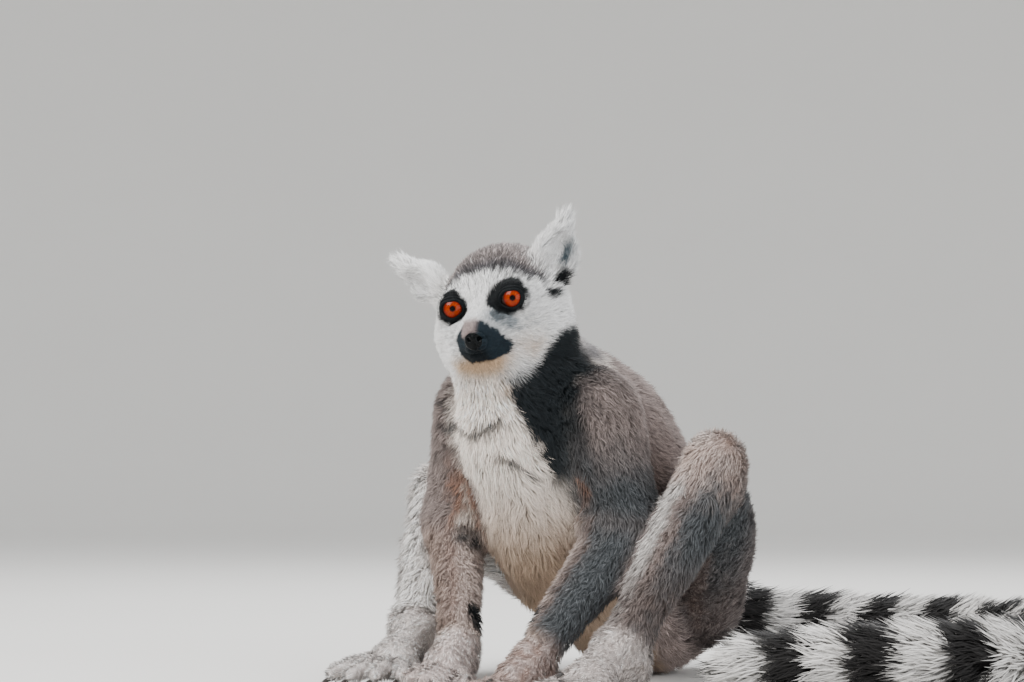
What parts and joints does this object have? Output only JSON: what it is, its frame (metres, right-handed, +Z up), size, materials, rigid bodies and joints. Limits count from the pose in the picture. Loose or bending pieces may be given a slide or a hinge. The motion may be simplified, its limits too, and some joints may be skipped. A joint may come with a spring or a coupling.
{
  "type": "ring-tailed lemur",
  "caption": "Life-size ring-tailed lemur sitting hunched with its hands on the ground between its feet and its banded tail laid round its left side.",
  "frame": {"origin": "on the ground under the middle of the whole animal's box, tail included", "axes": "+Z up, the trunk faces -Y and the animal's own left side is +X"},
  "size_m": [0.4398, 0.3624, 0.2695],
  "materials": {
    "back_fur": "soft, warm grey-brown fur",
    "limb_fur": "soft grey fur",
    "collar_fur": "soft charcoal fur",
    "face_fur": "short white fur",
    "hand_fur": "short pale fur",
    "tail_dark": "long black fur",
    "tail_pale": "long off-white fur",
    "eye": "glossy orange"
  },
  "bodies": {
    "root": {"trunk": "back_fur", "neck": "collar_fur", "head": "face_fur", "ear_left": "face_fur", "ear_right": "face_fur", "eye_left": "eye", "eye_right": "eye", "upper_arm_left": "limb_fur", "upper_arm_right": "limb_fur", "forearm_left": "limb_fur", "forearm_right": "limb_fur", "hand_left": "hand_fur", "hand_right": "hand_fur", "thigh_left": "limb_fur", "thigh_right": "limb_fur", "shin_left": "limb_fur", "shin_right": "limb_fur", "foot_left": "hand_fur", "foot_right": "hand_fur", "tail_1": "tail_dark", "tail_2": "tail_pale", "tail_3": "tail_dark", "tail_4": "tail_pale", "tail_5": "tail_dark", "tail_6": "tail_pale"}
  },
  "joints": []
}
